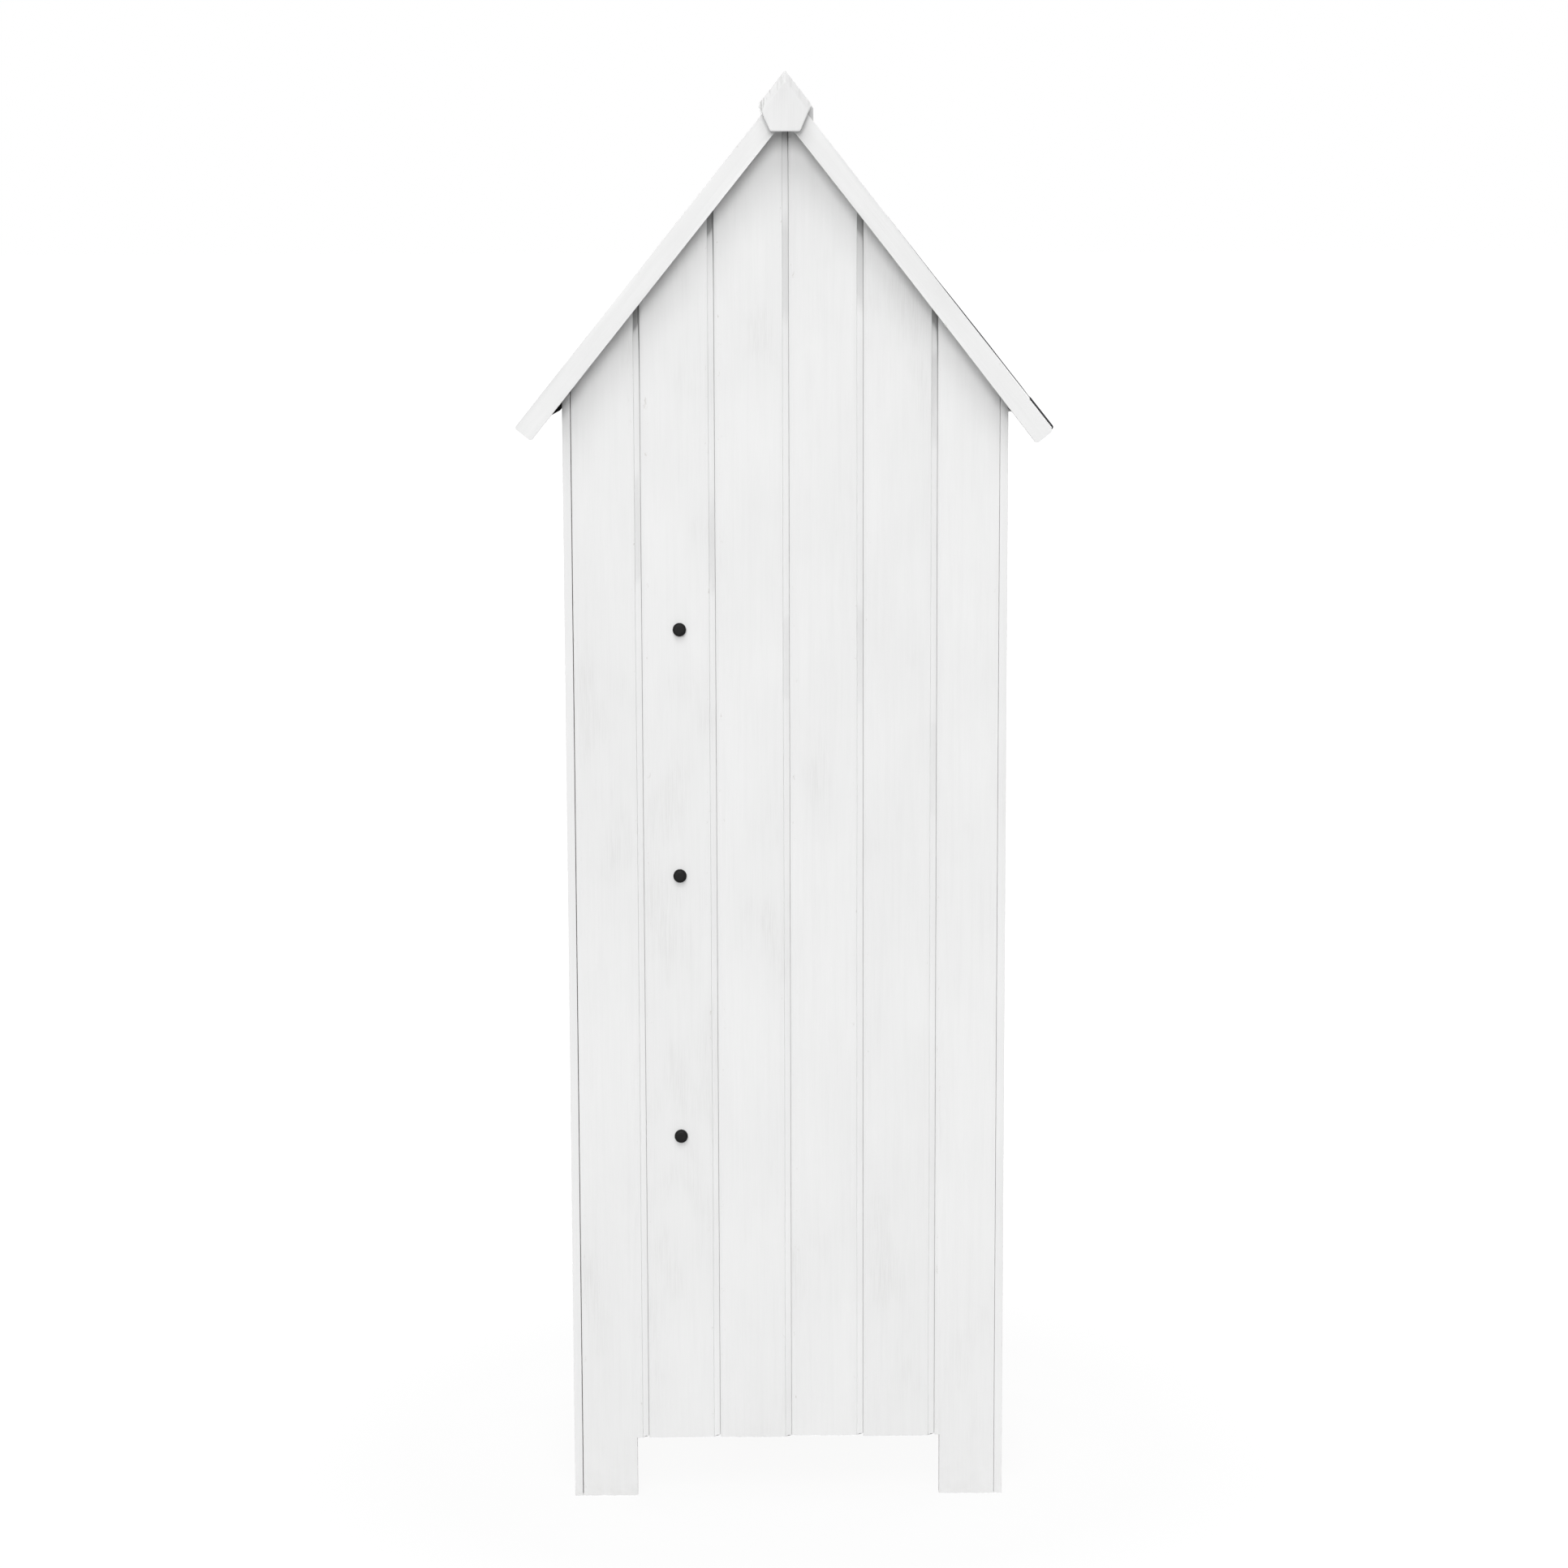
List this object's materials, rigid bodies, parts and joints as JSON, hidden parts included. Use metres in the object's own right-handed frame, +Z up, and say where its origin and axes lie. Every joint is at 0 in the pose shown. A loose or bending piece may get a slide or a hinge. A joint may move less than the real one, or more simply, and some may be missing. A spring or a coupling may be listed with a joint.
{
  "type": "garden shed",
  "caption": "Narrow upright wooden tool shed with a steep pitched roof, tongue-and-groove walls, legs, and a hinged bolted door.",
  "frame": {"origin": "on the floor, under the middle of the shed's bounding box", "axes": "+Z up; -Y is the door side and +Y the pictured back; +X is to the right of a person facing the door"},
  "size_m": [0.6612, 0.564, 1.8],
  "materials": {
    "white_paint": "satin white paint",
    "bare_pine": "bare planed pine",
    "roofing_felt": "mineral felt",
    "tarred_wood": "tarred",
    "black_steel": "satin black",
    "zinc_steel": "zinc plated",
    "black_plastic": "moulded"
  },
  "bodies": {
    "shed": {"back_board_1": "white_paint", "back_board_2": "white_paint", "back_board_3": "white_paint", "back_board_4": "white_paint", "back_board_5": "white_paint", "back_board_6": "white_paint", "back_finial": "white_paint", "back_left_bargeboard": "white_paint", "back_right_bargeboard": "white_paint", "bolt_keep": "black_steel", "corner_posts": "bare_pine", "divider": "bare_pine", "door_stops": "white_paint", "eaves_battens": "bare_pine", "eaves_wedges": "tarred_wood", "floor_bearers": "bare_pine", "floor_boards": "bare_pine", "frame_screws": "black_steel", "front_finial": "white_paint", "front_left_bargeboard": "white_paint", "front_right_bargeboard": "white_paint", "gable_boards": "white_paint", "header_rail": "white_paint", "hinge_leaves": "black_steel", "hinge_pins": "black_steel", "hook_caps": "black_plastic", "hook_nuts": "zinc_steel", "inner_battens": "bare_pine", "left_side_board_1": "white_paint", "left_side_board_2": "white_paint", "left_side_board_3": "white_paint", "left_side_board_4": "white_paint", "left_side_board_5": "white_paint", "left_stile": "white_paint", "rafters": "bare_pine", "ridge_beam": "bare_pine", "ridge_cap": "white_paint", "right_side_board_1": "white_paint", "right_side_board_2": "white_paint", "right_side_board_3": "white_paint", "right_side_board_4": "white_paint", "right_side_board_5": "white_paint", "right_stile": "white_paint", "roof_decks": "white_paint", "roofing_felt": "roofing_felt", "shelves": "bare_pine", "sill": "white_paint", "tool_hooks": "black_steel"},
    "door": {"door_board_1": "white_paint", "door_board_2": "white_paint", "door_board_3": "white_paint", "door_board_4": "white_paint", "door_board_5": "white_paint", "door_ledges": "white_paint", "door_braces": "white_paint", "door_knob": "white_paint", "door_screws": "black_steel", "hinge_straps": "black_steel", "bolt_plate": "black_steel"},
    "bolt": {"bolt_rod": "black_steel"}
  },
  "joints": [
    {"name": "door_hinge", "type": "hinge", "parent": "shed", "child": "door", "pos_m": [-0.2175, -0.224, 0.7335], "axis": [0, 0, -1], "range_deg": [0, 170]},
    {"name": "bolt_slide", "type": "slide", "parent": "door", "child": "bolt", "axis": [1, 0, 0], "range_m": [0, 0.024]}
  ]
}
